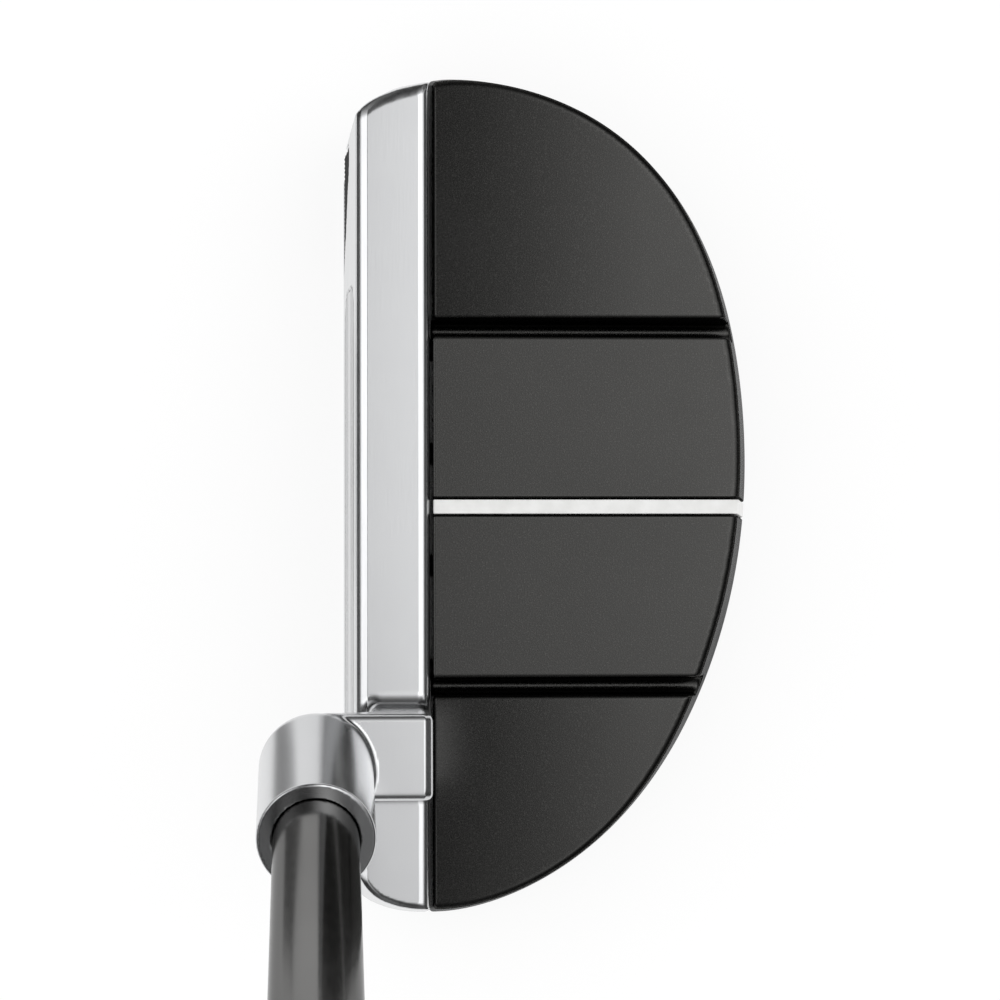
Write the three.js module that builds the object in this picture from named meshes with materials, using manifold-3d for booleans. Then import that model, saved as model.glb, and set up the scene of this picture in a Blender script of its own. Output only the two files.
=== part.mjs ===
// Mallet putter, right-handed, 35 in, plumber's neck.
// Millimetres. +X runs from the face towards the back, +Y towards the toe, +Z up.
// The origin lies on the flat of the sole, under the sight line, 20 mm behind the leading edge.
import * as THREE from 'three';
import { mergeVertices } from 'three/addons/utils/BufferGeometryUtils.js';
import Module from 'manifold-3d';

// ---------- driving dimensions ----------
const LEAD_X = -20;            // leading edge
const LOFT = 3;                // degrees
const LIE = 70;                // degrees, shaft to ground
const CROWN_Z = 25;            // top of the steel frame
const BODY_TOP_Z = 24.2;       // top of the black rear body
const FRAME_BACK_X = -9.6;     // rear face of the frame
const BODY_FRONT_X = -9.3;     // front face of the rear body
const WIDE_Z = 7;              // height at which the head is widest
const TOP_INSET_TOE = 2.75;    // how far the walls lean in, bottom to top
const TOP_INSET_HEEL = 1.85;
const GROOVE_Y = 21.9;         // the two long grooves
const GROOVE_W = 2.2;
const GROOVE_D = 8;
const SIGHT_W = 2.2;            // channel of the sight line
const INFILL_W = 1.72;         // its white infill
const SIGHT_D = 1.2;
const SIGHT_END_Z = 6;         // the sight line runs down the back to this height
const WING_DISH = 1.1;         // how far the wings dip towards the frame
const SHAFT_X = -23.5;         // shaft axis plane
const AXIS_Y0 = -13.0;         // where the shaft axis meets the ground
const NECK_S = 51.4;           // neck shoulder, along the axis from the ground
const RING_S = 70.8;           // top of the hosel ring
const HOSEL_R = 6.5;
const BORE_R = 4.78;
const BORE_S = 50.2;
const SHAFT_TIP_R = 4.7;
const SHAFT_BUTT_R = 7.5;
const SHAFT_WALL = 0.55;
const SHAFT_TIP_S = 50.5;
const CLUB_LEN = 889;          // 35 in along the axis
const GRIP_LEN = 267;          // 10.5 in
const GAP = 0.05;

const wasm = await Module();
wasm.setup();
const rad = THREE.MathUtils.degToRad;
const V2 = (x, y) => new THREE.Vector2(x, y);

// ---------- solid helpers ----------
function solid(geo) {
  const g = geo.index ? geo.clone() : geo;
  g.deleteAttribute('normal');
  g.deleteAttribute('uv');
  const m = mergeVertices(g, 1e-4);
  return new wasm.Manifold(new wasm.Mesh({
    numProp: 3,
    vertProperties: new Float32Array(m.attributes.position.array),
    triVerts: new Uint32Array(m.index.array),
  }));
}
function geometry(man) {
  const m = man.getMesh();
  const g = new THREE.BufferGeometry();
  g.setAttribute('position', new THREE.BufferAttribute(new Float32Array(m.vertProperties), 3));
  g.setIndex(new THREE.BufferAttribute(new Uint32Array(m.triVerts), 1));
  g.computeVertexNormals();
  return g;
}
const AXES = {
  x: new THREE.Matrix4().makeBasis(new THREE.Vector3(0, 1, 0), new THREE.Vector3(0, 0, 1), new THREE.Vector3(1, 0, 0)),
  y: new THREE.Matrix4().makeBasis(new THREE.Vector3(0, 0, 1), new THREE.Vector3(1, 0, 0), new THREE.Vector3(0, 1, 0)),
  z: new THREE.Matrix4(),
};
// outline points are (Y,Z) for axis x, (Z,X) for axis y, (X,Y) for axis z
function prism(points, from, to, axis) {
  const g = new THREE.ExtrudeGeometry(new THREE.Shape(points), { depth: to - from, bevelEnabled: false, curveSegments: 12 });
  g.translate(0, 0, from);
  g.applyMatrix4(AXES[axis]);
  return g;
}
function box(x0, x1, y0, y1, z0, z1) {
  const g = new THREE.BoxGeometry(x1 - x0, y1 - y0, z1 - z0);
  g.translate((x0 + x1) / 2, (y0 + y1) / 2, (z0 + z1) / 2);
  return g;
}
// cylinder or ring on an axis through (a,b)
function round(rOut, rIn, from, to, axis, a, b, seg = 40) {
  const pts = rIn > 0
    ? [V2(rIn, from), V2(rOut, from), V2(rOut, to), V2(rIn, to), V2(rIn, from)]
    : [V2(0, from), V2(rOut, from), V2(rOut, to), V2(0, to)];
  return lathe(pts, axis, a, b, seg);
}
function lathe(pts, axis, a, b, seg = 40) {
  const g = new THREE.LatheGeometry(pts, seg);
  g.rotateX(Math.PI / 2);            // lathe axis from +Y to +Z
  g.translate(a, b, 0);
  g.applyMatrix4(AXES[axis]);
  return g;
}
function roundedRect(x0, x1, y0, y1, r, n = 6) {
  const out = [];
  for (const [cx, cy, a0] of [[x1 - r, y1 - r, 0], [x0 + r, y1 - r, 90], [x0 + r, y0 + r, 180], [x1 - r, y0 + r, 270]]) {
    for (let i = 0; i <= n; i++) {
      const a = rad(a0 + 90 * i / n);
      out.push(V2(cx + r * Math.cos(a), cy + r * Math.sin(a)));
    }
  }
  return out;
}

// ---------- head outline ----------
// half-moon rim in polar form about (-9.5, 1.5), at its widest height
const RIM_CX = -9.5, RIM_CY = 1.5, RIM_SPAN = 92;
const RIM = [48.44349, 1.55391, 5.99381, -1.2999, -2.15526, 0.03583, 0.06714, 0.18306, 0.01826, -0.05586, -0.0832, 0.00106];
function rimRadius(deg) {
  const t = deg / RIM_SPAN;
  let b1 = 0, b2 = 0;
  for (let i = RIM.length - 1; i > 0; i--) [b1, b2] = [2 * t * b1 - b2 + RIM[i], b1];
  return t * b1 - b2 + RIM[0];
}
const rim = [];
for (let a = -88; a <= 88; a += 4) {
  const r = rimRadius(a);
  rim.push(V2(RIM_CX + r * Math.cos(rad(a)), RIM_CY + r * Math.sin(rad(a))));
}
const toeFront = [[-11.5, 54.05], [-13.2, 53.6], [-14.8, 52.9], [-16.3, 51.7], [-17.6, 50.1], [-18.7, 48.5], [-19.4, 47.3], [-20.4, 45.6], [-23, 42.5]];
const heelFront = [[-23, -39.5], [-20.9, -43.4], [-20.0, -45.4], [-18.9, -47.2], [-17.2, -48.8], [-14.6, -49.95], [-11.6, -50.5]];
const outline = [...rim, ...toeFront.map(p => V2(...p)), V2(-27, 36), V2(-27, -33), ...heelFront.map(p => V2(...p))];
const normals = outline.map((p, i) => {
  const a = outline[(i + outline.length - 1) % outline.length], b = outline[(i + 1) % outline.length];
  const d = b.clone().sub(a).normalize();
  return V2(d.y, -d.x);
});
function topInset(p) {
  const t = THREE.MathUtils.smoothstep(p.y, -45, -15);
  const corner = p.y > 0 ? THREE.MathUtils.clamp((p.x + 19.5) / 6.5, 0, 1) : 1; // the toe corner stands upright
  return (TOP_INSET_HEEL + (TOP_INSET_TOE - TOP_INSET_HEEL) * t) * corner;
}
// a stack of outlines: each layer is [z, extra inset]; above WIDE_Z the wall leans in
function headBlank(layers, topZ) {
  const n = layers.length - 1;
  const g = new THREE.ExtrudeGeometry(new THREE.Shape(outline), { depth: n, steps: n, bevelEnabled: false });
  const key = (x, y) => x.toFixed(3) + ',' + y.toFixed(3);
  const index = new Map(outline.map((p, i) => [key(p.x, p.y), i]));
  const pos = g.attributes.position;
  for (let k = 0; k < pos.count; k++) {
    const i = index.get(key(pos.getX(k), pos.getY(k)));
    const [z, extra] = layers[Math.round(pos.getZ(k))];
    const lean = Math.max(0, (z - WIDE_Z) / (topZ - WIDE_Z)) * topInset(outline[i]);
    pos.setXYZ(k, outline[i].x - normals[i].x * (lean + extra), outline[i].y - normals[i].y * (lean + extra), z);
  }
  return g;
}
const SOLE = [[0, 5.2], [0.3, 3.2], [1.1, 1.5], [2.6, 0.45], [5, 0], [7, 0]];
const frameBlank = solid(headBlank([...SOLE, [CROWN_Z - 0.42, 0], [CROWN_Z, 0.6]], CROWN_Z));
const bodyBlank = solid(headBlank([...SOLE, [BODY_TOP_Z - 0.4, 0], [BODY_TOP_Z, 0.52]], BODY_TOP_Z));

// ---------- lofted face frame: x' into the head, y' along Y, z' up the face ----------
const faceM = new THREE.Matrix4().makeRotationY(rad(LOFT)).setPosition(LEAD_X, 0, 0);
const onFace = g => g.clone().applyMatrix4(faceM);

// ---------- shaft frame: origin at the ground end of the axis, +Z along the shaft ----------
const tilt = rad(90 - LIE);
const shaftM = new THREE.Matrix4().makeRotationX(tilt).setPosition(SHAFT_X, AXIS_Y0, 0);
const onShaft = g => g.clone().applyMatrix4(shaftM);

// ---------- front frame: face bar, crown and neck in one casting ----------
const faceX = z => LEAD_X + z * Math.tan(rad(LOFT));
const frameSection = [
  V2(0, -18.9), V2(0.3, -19.6), V2(1.0, faceX(1.0)), V2(24.24, faceX(24.24)), V2(24.74, -18.1), V2(25, -17.3),
  V2(25, -11.1), V2(24.94, -10.5), V2(24.73, -10.2), V2(24.45, -9.85), V2(24.2, -9.68), V2(23.8, FRAME_BACK_X), V2(0, FRAME_BACK_X),
];
let frame = frameBlank.intersect(solid(prism(frameSection, -60, 60, 'y')));

// neck: arm and post cut from one bent bar, hosel tube on the arm
const NECK_Y0 = -34.2, NECK_Y1 = -24.3;
const corner = (cx, cy, r, a0, a1, n = 6) => Array.from({ length: n + 1 }, (_, i) => {
  const a = rad(a0 + (a1 - a0) * i / n);
  return V2(cx + r * Math.cos(a), cy + r * Math.sin(a));
});
const ARM_TOP_Z = 49;
const neckSide = [ // (u, w): u along X from the shaft axis, w along the shaft from the shoulder
  V2(0, 4), V2(0, -6.4), V2(2.2, -7.4), V2(4.0, -8.7), V2(5.6, -10.6), V2(6.8, -13.2), V2(6.8, -40), V2(13.3, -40), V2(13.3, 4),
];
const barM = new THREE.Matrix4().makeBasis(
  new THREE.Vector3(1, 0, 0), new THREE.Vector3(0, 0, 1), new THREE.Vector3(0, -1, 0)); // (u,w,·) -> (x, z) of the shaft frame
const barG = new THREE.ExtrudeGeometry(new THREE.Shape(neckSide), { depth: 44, bevelEnabled: false });
barG.translate(0, 0, -22).applyMatrix4(barM);
barG.translate(0, 0, NECK_S);
const bar = solid(onShaft(barG)).intersect(solid(prism(roundedRect(-26, -10.2, NECK_Y0, NECK_Y1, 0.8, 4), CROWN_Z - 1.5, 70, 'z')))
  .intersect(solid(prism([V2(20, -30), V2(ARM_TOP_Z, -30), V2(ARM_TOP_Z, -11.0), V2(ARM_TOP_Z - 0.58, -10.2), V2(20, -10.2)], -50, 0, 'y'))); // the arm is level on top
const tubePts = [V2(0, NECK_S - 5.6), ...corner(0, NECK_S, HOSEL_R, -80, 0, 8).map(p => V2(p.x, NECK_S + (p.y - NECK_S) * 0.86)),
  V2(HOSEL_R, RING_S - 0.3), V2(HOSEL_R - 0.3, RING_S), V2(0, RING_S)];
const tube = solid(onShaft(lathe(tubePts, 'z', 0, 0, 48)));
// concave fillet where the post meets the crown
const FOOT = [[CROWN_Z - 1, 1.9], [CROWN_Z, 1.7], [CROWN_Z + 0.2, 1.1], [CROWN_Z + 0.5, 0.65], [CROWN_Z + 1.0, 0.25], [CROWN_Z + 1.6, 0.03], [CROWN_Z + 1.9, -0.05]];
const footX0 = SHAFT_X + 6.8, footX1 = -10.2;
const footG = new THREE.ExtrudeGeometry(new THREE.Shape(roundedRect(footX0, footX1, NECK_Y0, NECK_Y1, 0.9, 4)), { depth: FOOT.length - 1, steps: FOOT.length - 1, bevelEnabled: false });
{
  const pos = footG.attributes.position, cx = (footX0 + footX1) / 2, cy = (NECK_Y0 + NECK_Y1) / 2;
  for (let k = 0; k < pos.count; k++) {
    const [z, e] = FOOT[Math.round(pos.getZ(k))];
    pos.setXYZ(k, cx + (pos.getX(k) - cx) * (1 + 2 * e / (footX1 - footX0)), cy + (pos.getY(k) - cy) * (1 + 2 * e / (NECK_Y1 - NECK_Y0)), z);
  }
}
const foot = solid(footG).intersect(solid(box(-30, FRAME_BACK_X - 0.02, -60, 60, 0, 60)));
frame = frame.add(bar).add(tube).add(foot);
frame = frame.subtract(solid(onShaft(round(BORE_R, 0, BORE_S, RING_S + 5, 'z', 0, 0, 48))));

// face pocket, inlay pockets and screw holes
const INSERT = { y0: -27.5, y1: 27.5, z0: 3.6, z1: 21.4, r: 5 };
const toeTri = [V2(30.6, 1.5), V2(45.6, 1.5), V2(45.9, 1.9), V2(45.9, 10.9), V2(45.1, 11.9), V2(43.8, 11.8)];
const heelTri = toeTri.map(p => V2(-p.x + 2.6, p.y)).reverse();
const grow = (pts, d) => { // inset a convex outline by d
  const c = pts.reduce((s, p) => s.add(p), V2(0, 0)).multiplyScalar(1 / pts.length);
  const w = Math.max(...pts.map(p => p.distanceTo(c)));
  return pts.map(p => p.clone().sub(c).multiplyScalar(1 + d / w * 1.6).add(c));
};
frame = frame.subtract(solid(onFace(prism(roundedRect(INSERT.y0, INSERT.y1, INSERT.z0, INSERT.z1, INSERT.r), -3, 5.0, 'x'))));
frame = frame.subtract(solid(onFace(prism(toeTri, -3, 2.2, 'x'))));
frame = frame.subtract(solid(onFace(prism(heelTri, -3, 2.2, 'x'))));
const SCREW_Y = [20, 7, -7, -20], SCREW_Z = 12.2;
for (const y of SCREW_Y) {
  frame = frame.subtract(solid(round(1.7, 0, -18, -8, 'x', y, SCREW_Z, 24)));
  frame = frame.subtract(solid(round(2.9, 0, -18, -12.4, 'x', y, SCREW_Z, 32)));
}
// two lightening pockets in the back of the frame, closed off by the rear body
const FRAME_POCKET = [[26.5, 44.5], [-42.5, -26.5]];
for (const [y0, y1] of FRAME_POCKET) frame = frame.subtract(solid(prism(roundedRect(y0, y1, 5.5, 20, 2.5, 4), -13.6, -8, 'x')));

// ---------- rear body ----------
let body = bodyBlank.intersect(solid(box(BODY_FRONT_X, 60, -70, 70, -5, 40)));
for (const y of [GROOVE_Y, -GROOVE_Y]) {
  const h = GROOVE_W / 2, t = BODY_TOP_Z;
  const pts = [V2(y - h - 0.35, t + 1), V2(y - h - 0.35, t), V2(y - h, t - 0.5), V2(y - h, t - GROOVE_D + h),
    V2(y - h * 0.7, t - GROOVE_D + h * 0.3), V2(y, t - GROOVE_D), V2(y + h * 0.7, t - GROOVE_D + h * 0.3),
    V2(y + h, t - GROOVE_D + h), V2(y + h, t - 0.5), V2(y + h + 0.35, t), V2(y + h + 0.35, t + 1)];
  body = body.subtract(solid(prism(pts, -15, 60, 'x')));
}
// sight channel: one depth all along the top and down the back
function sightStrip(depth, half, endZ) {
  const core = solid(headBlank([[-1, depth], [WIDE_Z, depth], [BODY_TOP_Z - depth, depth]], BODY_TOP_Z));
  return solid(box(-15, 60, -half, half, endZ, BODY_TOP_Z + 3)).subtract(core);
}
body = body.subtract(sightStrip(SIGHT_D, SIGHT_W / 2, SIGHT_END_Z));
// the wings dip in a shallow curve towards the frame
const dip = x => BODY_TOP_Z - WING_DISH * Math.pow(1 - (x - BODY_FRONT_X) / 26, 2);
const dipX = [-9.3, -6, -2.5, 1, 5, 9, 13, 16.7];
for (const [y0, y1] of [[GROOVE_Y, 70], [-70, -GROOVE_Y]]) {
  body = body.subtract(solid(prism([V2(dip(-9.3), -12), ...dipX.map(x => V2(dip(x), x)), V2(BODY_TOP_Z + 2, 17), V2(BODY_TOP_Z + 2, -12)], y0, y1, 'y')));
}
for (const y of SCREW_Y) body = body.subtract(solid(round(1.55, 0, -15, -0.8, 'x', y, SCREW_Z, 24)));
// sole: cover recess, lightening hollow, two weight ports
const WEIGHT = [{ x: 2, y: 34 }, { x: 2, y: -32.5 }];
for (const w of WEIGHT) body = body.subtract(solid(round(7.6, 0, -2, 8.4, 'z', w.x, w.y, 48)));
body = body.subtract(solid(prism(roundedRect(-5, 23, -19.5, 19.5, 8, 8), -2, 1.8, 'z')));
body = body.subtract(solid(prism(roundedRect(-1.5, 19.5, -12, 12, 5, 6), -2, 15.5, 'z')));
const COVER_SCREW = [{ x: 9, y: 15.6 }, { x: 9, y: -15.6 }];
for (const c of COVER_SCREW) body = body.subtract(solid(round(1.15, 0, 0, 7.6, 'z', c.x, c.y, 24)));

// ---------- small pieces of the head ----------
let insert = solid(prism(roundedRect(INSERT.y0 + 0.15, INSERT.y1 - 0.15, INSERT.z0 + 0.15, INSERT.z1 - 0.15, INSERT.r - 0.15), 0, 3.4, 'x'));
for (const z of [4.9, 7.1, 9.3, 15.7, 17.9, 20.1]) {
  insert = insert.subtract(solid(prism([V2(z - 0.28, -1), V2(z + 0.28, -1), V2(z + 0.28, 0), V2(z + 0.14, 0.3), V2(z - 0.14, 0.3), V2(z - 0.28, 0)], -30, 30, 'y')));
}
const backing = prism(roundedRect(INSERT.y0 + 0.6, INSERT.y1 - 0.6, INSERT.z0 + 0.6, INSERT.z1 - 0.6, INSERT.r - 0.6), 3.45, 4.75, 'x');
const toeInlay = prism(grow(toeTri, -0.12), 0.05, 2.1, 'x');
const heelInlay = prism(grow(heelTri, -0.12), 0.05, 2.1, 'x');
const sight = sightStrip(SIGHT_D - GAP, INFILL_W / 2, SIGHT_END_Z + GAP).intersect(bodyBlank).intersect(solid(box(BODY_FRONT_X, 60, -5, 5, 0, 40)));

function capScrew(y) { // socket-head screw along +X, head towards the face
  const s = solid(lathe([V2(0, -14.35), V2(2.5, -14.35), V2(2.6, -14.25), V2(2.6, -12.5), V2(1.4, -12.5), V2(1.4, -1.5), V2(0.9, -1.0), V2(0, -1.0)], 'x', y, SCREW_Z, 24));
  const hex = new THREE.CylinderGeometry(1.3, 1.3, 2.4, 6);
  hex.rotateZ(Math.PI / 2);
  hex.translate(-14.3, y, SCREW_Z);
  return s.subtract(solid(hex));
}
function weightPlug(w) {
  let s = solid(lathe([V2(0, 0.3), V2(6.9, 0.3), V2(7.35, 0.75), V2(7.35, 7.1), V2(0, 7.1)], 'z', w.x, w.y, 48));
  for (let i = 0; i < 3; i++) {
    const a = rad(90 + 120 * i);
    s = s.subtract(solid(round(0.95, 0, -1, 2.8, 'z', w.x + 3.6 * Math.cos(a), w.y + 3.6 * Math.sin(a), 20)));
  }
  return s;
}
const weightRing = w => lathe([V2(4.6, 7.2), V2(6.4, 7.2), V2(6.9, 7.5), V2(6.9, 8.0), V2(6.4, 8.3), V2(4.6, 8.3), V2(4.6, 7.2)], 'z', w.x, w.y, 40);
let cover = solid(prism(roundedRect(-4.8, 22.8, -19.3, 19.3, 7.8, 8), 0, 1.6, 'z'));
for (const c of COVER_SCREW) {
  cover = cover.subtract(solid(round(1.35, 0, -1, 3, 'z', c.x, c.y, 24)));
  cover = cover.subtract(solid(round(2.3, 0, -1, 1.0, 'z', c.x, c.y, 32)));
}
function coverScrew(c) {
  const s = solid(lathe([V2(0, 0.2), V2(2.1, 0.2), V2(2.1, 0.95), V2(1.0, 0.95), V2(1.0, 7.0), V2(0.6, 7.4), V2(0, 7.4)], 'z', c.x, c.y, 24));
  const hex = new THREE.CylinderGeometry(0.75, 0.75, 1.2, 6);
  hex.rotateX(Math.PI / 2);
  hex.translate(c.x, c.y, 0.15);
  return s.subtract(solid(hex));
}

// ---------- shaft, plugs, tape ----------
const BUTT_S = CLUB_LEN - 6;
function shaftR(s) {
  if (s < 330) return SHAFT_TIP_R;
  if (s < 640) return SHAFT_TIP_R + (7.3 - SHAFT_TIP_R) * (s - 330) / 310;
  return 7.3 + (SHAFT_BUTT_R - 7.3) * (s - 640) / (BUTT_S - 640);
}
const shaftStops = [SHAFT_TIP_S + 0.5, 330, 640, BUTT_S];
const shaftPts = [V2(SHAFT_TIP_R - SHAFT_WALL, SHAFT_TIP_S), V2(SHAFT_TIP_R - 0.4, SHAFT_TIP_S), ...shaftStops.map(s => V2(shaftR(s), s)),
  ...[BUTT_S, 640, 330].map(s => V2(shaftR(s) - SHAFT_WALL, s)), V2(SHAFT_TIP_R - SHAFT_WALL, SHAFT_TIP_S)];
const shaft = lathe(shaftPts, 'z', 0, 0, 40);
const tipPlug = lathe([V2(0, 51.5), V2(3.7, 51.5), V2(4.08, 52.2), V2(4.08, 58), V2(3.7, 58.6), V2(0, 58.6)], 'z', 0, 0, 24);
const GRIP_S0 = CLUB_LEN - GRIP_LEN;
const tapeS = [GRIP_S0 + 3, 640, BUTT_S - 2];
const tape = lathe([...tapeS.map(s => V2(shaftR(s) + 0.06, s)), ...tapeS.slice().reverse().map(s => V2(shaftR(s) + 0.3, s)),
  V2(shaftR(tapeS[0]) + 0.06, tapeS[0])].reverse(), 'z', 0, 0, 40);
const buttPlug = lathe([V2(0, BUTT_S - 22), V2(6.5, BUTT_S - 22), V2(6.8, BUTT_S - 21), V2(6.8, BUTT_S - 0.2), V2(0, BUTT_S - 0.2)], 'z', 0, 0, 32);

// ---------- grip: pistol shape, flat front ----------
// the front is one flat plane from the mouth to the butt
const gripFront = d => 9.5 + 1.8 * (d - 5) / 243;
// layer: [s, half width, front flat height, back depth]
const gripLayers = [
  [0, 8.6, 8.5, 8.6], [1.2, 9.4, 9.2, 9.4], [5, 9.7, 0, 9.8], [40, 10.2, 0, 10.6],
  [80, 10.7, 0, 11.6], [120, 11.3, 0, 12.9], [155, 11.9, 0, 13.6], [185, 12.3, 0, 14.0],
  [210, 12.7, 0, 15.0], [232, 13.1, 0, 17.0], [248, 13.4, 0, 18.6], [258, 13.3, 11.2, 18.8],
  [261.6, 12.7, 10.6, 18.0], [262.6, 11.6, 9.8, 16.6],
].map(([d, hw, f, b]) => [GRIP_S0 + d, hw, f || gripFront(d), b]);
const GRIP_N = 36;
function gripPoint(i, hw, front, back) { // v > 0 is the flat front
  const a = 2 * Math.PI * i / GRIP_N;
  const c = Math.cos(a), s = Math.sin(a);
  const p = s > 0 ? 3.6 : 2.15;
  const r = Math.pow(Math.pow(Math.abs(c), p) + Math.pow(Math.abs(s), p), -1 / p);
  return V2(hw * r * c, (s > 0 ? Math.min(front, front * 1.09 * r * s) : back * r * s));
}
function gripBlank(layers) {
  const n = layers.length - 1;
  const base = Array.from({ length: GRIP_N }, (_, i) => V2(10 * Math.cos(2 * Math.PI * i / GRIP_N), 10 * Math.sin(2 * Math.PI * i / GRIP_N)));
  const g = new THREE.ExtrudeGeometry(new THREE.Shape(base), { depth: n, steps: n, bevelEnabled: false });
  const pos = g.attributes.position;
  for (let k = 0; k < pos.count; k++) {
    let i = Math.round(Math.atan2(pos.getY(k), pos.getX(k)) / (2 * Math.PI) * GRIP_N);
    i = (i + GRIP_N) % GRIP_N;
    const [s, hw, f, b] = layers[Math.round(pos.getZ(k))];
    const q = gripPoint(i, hw, f, b);
    pos.setXYZ(k, q.x, q.y, s);
  }
  return g;
}
const gripBore = lathe([V2(0, GRIP_S0 - 2), V2(shaftR(GRIP_S0) + 0.36, GRIP_S0 - 2), V2(7.3 + 0.36, 640), V2(SHAFT_BUTT_R + 0.36, BUTT_S + 0.6), V2(SHAFT_BUTT_R + 0.36, CLUB_LEN + 5), V2(0, CLUB_LEN + 5)], 'z', 0, 0, 40);
const grip = solid(gripBlank(gripLayers)).subtract(solid(gripBore));
// domed end cap with a spigot into the grip bore
const capDome = gripBlank([[GRIP_S0 + 262.9, 11.5, 9.7, 16.5], [GRIP_S0 + 264.6, 11.2, 9.4, 16.0], [GRIP_S0 + 266.2, 9.6, 8.0, 13.8], [GRIP_S0 + 267, 6.5, 5.4, 9.5]]);
const cap = solid(capDome)
  .add(solid(round(SHAFT_BUTT_R, 0, BUTT_S + 0.3, GRIP_S0 + 264, 'z', 0, 0, 32)))
  .subtract(solid(round(1.2, 0, BUTT_S - 2, CLUB_LEN + 3, 'z', 0, 0, 16)));

// ---------- assembly ----------
const STEEL = { color: 0xc4c2bd, roughness: 0.32, metalness: 1 };
const BLACK = { color: 0x1d1d1e, roughness: 0.5, metalness: 0.8 };
const RUBBER = { color: 0x141414, roughness: 0.85, metalness: 0 };
const SCREW = { color: 0x4a4a4c, roughness: 0.4, metalness: 1 };
const root = new THREE.Group();
function put(parent, name, geo, look) {
  const mesh = new THREE.Mesh(geo, new THREE.MeshStandardMaterial(look));
  mesh.name = name;
  parent.add(mesh);
  return mesh;
}
put(root, 'front_frame', geometry(frame), STEEL);
put(root, 'rear_body', geometry(body), BLACK);
put(root, 'sight_line', geometry(sight), { color: 0xeeeeea, roughness: 0.6, metalness: 0 });
SCREW_Y.forEach((y, i) => put(root, 'body_screw_' + (i + 1), geometry(capScrew(y)), SCREW));
put(root, 'toe_weight', geometry(weightPlug(WEIGHT[0])), STEEL);
put(root, 'heel_weight', geometry(weightPlug(WEIGHT[1])), STEEL);
put(root, 'toe_weight_ring', weightRing(WEIGHT[0]), RUBBER);
put(root, 'heel_weight_ring', weightRing(WEIGHT[1]), RUBBER);
put(root, 'sole_cover', geometry(cover), STEEL);
COVER_SCREW.forEach((c, i) => put(root, 'cover_screw_' + (i + 1), geometry(coverScrew(c)), SCREW));

const faceGroup = new THREE.Group();
faceM.decompose(faceGroup.position, faceGroup.quaternion, faceGroup.scale);
root.add(faceGroup);
put(faceGroup, 'face_insert', geometry(insert), STEEL);
put(faceGroup, 'insert_backing', backing, RUBBER);
put(faceGroup, 'toe_inlay', toeInlay, RUBBER);
put(faceGroup, 'heel_inlay', heelInlay, RUBBER);

const shaftGroup = new THREE.Group();
shaftM.decompose(shaftGroup.position, shaftGroup.quaternion, shaftGroup.scale);
root.add(shaftGroup);
put(shaftGroup, 'shaft', shaft, { color: 0x2b2b2d, roughness: 0.15, metalness: 1 });
put(shaftGroup, 'shaft_tip_plug', tipPlug, { color: 0xb8b4a4, roughness: 0.8, metalness: 0 });
put(shaftGroup, 'grip_tape', tape, { color: 0xd8cfae, roughness: 0.9, metalness: 0 });
put(shaftGroup, 'butt_plug', buttPlug, { color: 0x3a3a3a, roughness: 0.8, metalness: 0 });
put(shaftGroup, 'grip', geometry(grip), RUBBER);
put(shaftGroup, 'grip_cap', geometry(cap), RUBBER);
root.updateMatrixWorld(true);

export default root;
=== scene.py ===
# Looks of the mallet putter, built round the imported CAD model. Metres, same frame as the CAD.
import math

import bmesh
import bpy
import numpy as np
from mathutils import Matrix, Vector


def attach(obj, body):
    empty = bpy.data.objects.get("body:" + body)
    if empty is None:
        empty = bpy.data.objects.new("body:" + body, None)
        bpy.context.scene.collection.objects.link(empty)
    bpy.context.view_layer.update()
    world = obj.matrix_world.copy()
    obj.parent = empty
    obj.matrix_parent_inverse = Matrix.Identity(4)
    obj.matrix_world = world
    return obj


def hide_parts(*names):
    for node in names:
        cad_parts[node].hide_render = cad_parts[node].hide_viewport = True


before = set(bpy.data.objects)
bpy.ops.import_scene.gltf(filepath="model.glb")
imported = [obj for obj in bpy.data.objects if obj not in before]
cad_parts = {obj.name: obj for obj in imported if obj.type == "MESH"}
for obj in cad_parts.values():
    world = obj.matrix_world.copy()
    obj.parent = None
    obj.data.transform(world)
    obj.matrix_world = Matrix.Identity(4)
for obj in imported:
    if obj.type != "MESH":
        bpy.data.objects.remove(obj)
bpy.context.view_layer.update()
MM = 0.001

# ------------------------------------------------------------------ sizes (mm), as in the CAD
LEAD_X, LOFT = -20.0, math.radians(3)
CROWN_Z, BODY_TOP_Z, WIDE_Z = 25.0, 24.2, 7.0
FRAME_BACK_X, BODY_FRONT_X = -9.6, -9.3
TILT = math.radians(20)
SHAFT_X, AXIS_Y0 = -23.5, -13.0
NECK_S, RING_S, HOSEL_R, BORE_R = 51.4, 70.8, 6.5, 4.78
CLUB_LEN, GRIP_LEN = 889.0, 267.0
GRIP_S0 = CLUB_LEN - GRIP_LEN
BUTT_S = CLUB_LEN - 6
GROOVE_Y, SIGHT_W, INFILL_W, SIGHT_END_Z = 21.9, 2.2, 1.72, 6.0
RIM_CX, RIM_CY = -9.5, 1.5
RIM = [48.44349, 1.55391, 5.99381, -1.2999, -2.15526, 0.03583, 0.06714, 0.18306, 0.01826, -0.05586, -0.0832, 0.00106]
WEIGHTS = {"toe": (2.0, 34.0), "heel": (2.0, -32.5)}
SCREW_Y, SCREW_Z = [20, 7, -7, -20], 12.2
COVER_SCREW = [(9.0, 15.6), (9.0, -15.6)]


# ------------------------------------------------------------------ mesh helpers
def new_object(name, verts, faces, smooth=True):
    me = bpy.data.meshes.new(name)
    me.from_pydata([tuple(v) for v in verts], [], [tuple(f) for f in faces])
    me.validate()
    me.update()
    o = bpy.data.objects.new(name, me)
    bpy.context.scene.collection.objects.link(o)
    if smooth:
        me.polygons.foreach_set("use_smooth", [True] * len(me.polygons))
    return o


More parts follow.
